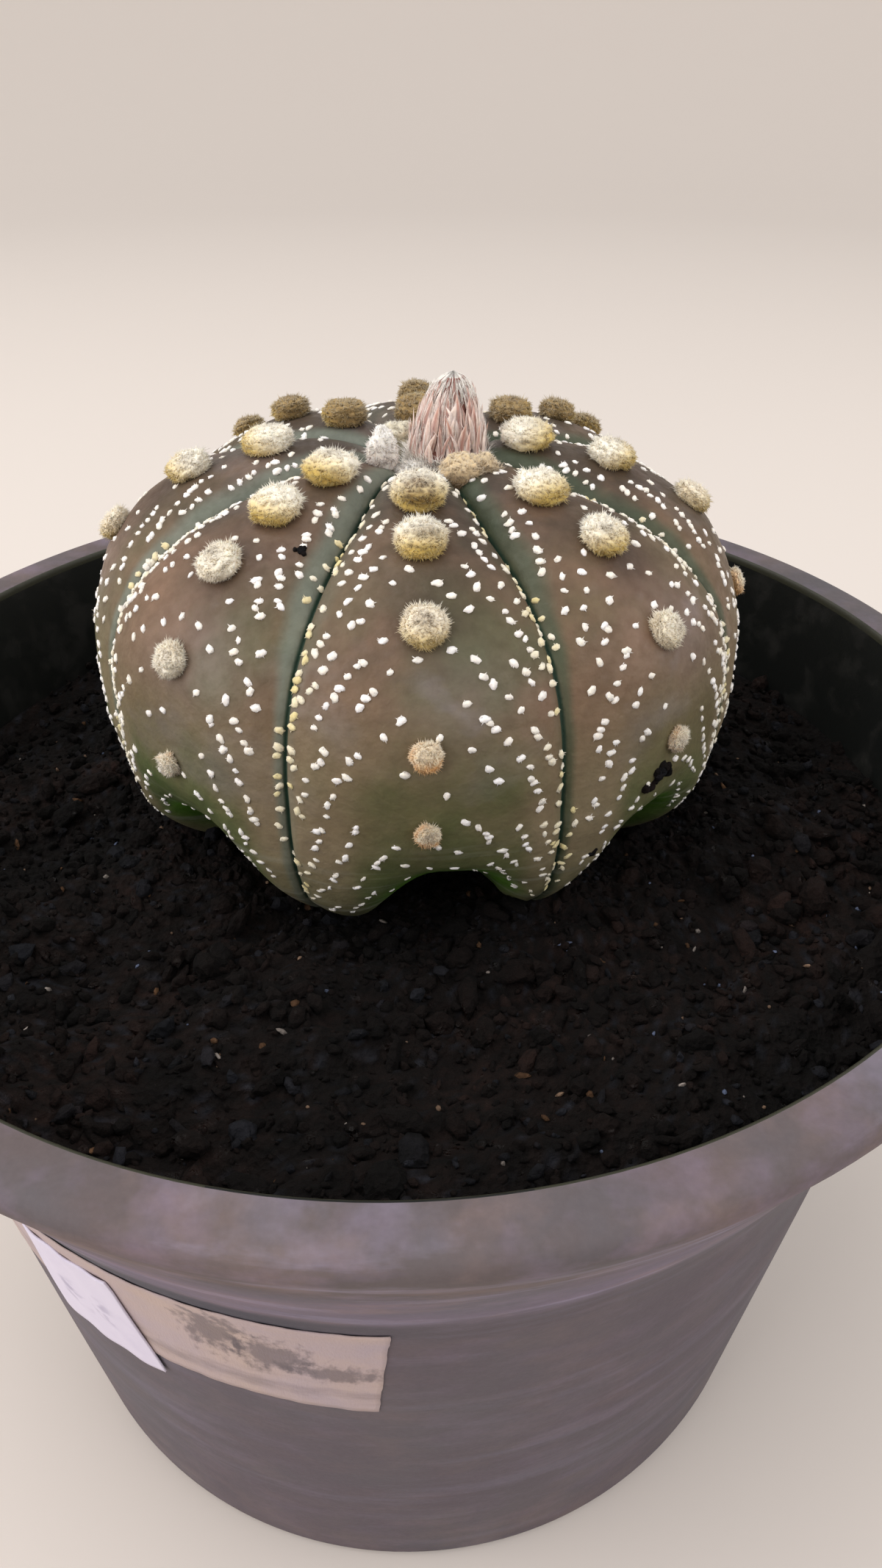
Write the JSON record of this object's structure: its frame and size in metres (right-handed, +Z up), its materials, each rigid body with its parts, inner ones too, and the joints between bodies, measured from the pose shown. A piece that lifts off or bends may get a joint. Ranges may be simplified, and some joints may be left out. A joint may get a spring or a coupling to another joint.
{
  "type": "potted cactus",
  "caption": "Low domed, spineless ribbed cactus with woolly cushions and a flower bud, rooted in dark soil in a round flared nursery pot with a strip of tape and a blank label.",
  "frame": {"origin": "centre of the pot's foot ring, on the surface that the pot stands on", "axes": "+Z up along the pot's axis; the front, -Y, is the side with the tape's free end, with the taped label towards -X; the plant stands a little behind the axis, towards +Y"},
  "size_m": [0.1328, 0.1328, 0.1234],
  "materials": {
    "pot_plastic": "matte",
    "potting_soil": "matte",
    "cactus_skin": "matte",
    "areole_wool": "matte",
    "young_wool": "matte",
    "bud_scales": "matte",
    "masking_tape": "matte",
    "label_paper": "matte"
  },
  "bodies": {
    "root": {"pot": "pot_plastic", "soil": "potting_soil", "cactus_stem": "cactus_skin", "areole_rib1_1": "areole_wool", "areole_rib1_2": "areole_wool", "areole_rib1_3": "areole_wool", "areole_rib1_4": "areole_wool", "areole_rib1_5": "areole_wool", "areole_rib2_1": "areole_wool", "areole_rib2_2": "areole_wool", "areole_rib2_3": "areole_wool", "areole_rib2_4": "areole_wool", "areole_rib3_1": "areole_wool", "areole_rib3_2": "areole_wool", "areole_rib3_3": "areole_wool", "areole_rib3_4": "areole_wool", "areole_rib3_5": "areole_wool", "areole_rib4_1": "areole_wool", "areole_rib4_2": "areole_wool", "areole_rib4_3": "areole_wool", "areole_rib4_4": "areole_wool", "areole_rib4_5": "areole_wool", "areole_rib5_1": "areole_wool", "areole_rib5_2": "areole_wool", "areole_rib5_3": "areole_wool", "areole_rib5_4": "areole_wool", "areole_rib5_5": "areole_wool", "areole_rib6_1": "areole_wool", "areole_rib6_2": "areole_wool", "areole_rib6_3": "areole_wool", "areole_rib6_4": "areole_wool", "areole_rib6_5": "areole_wool", "areole_rib7_1": "areole_wool", "areole_rib7_2": "areole_wool", "areole_rib7_3": "areole_wool", "areole_rib7_4": "areole_wool", "areole_rib8_1": "areole_wool", "areole_rib8_2": "areole_wool", "areole_rib8_3": "areole_wool", "areole_rib8_4": "areole_wool", "areole_rib8_5": "areole_wool", "flower_bud": "bud_scales", "young_bud_white": "young_wool", "young_bud_tan": "areole_wool", "crown_wool": "young_wool", "tape_strip": "masking_tape", "paper_label": "label_paper"}
  },
  "joints": []
}
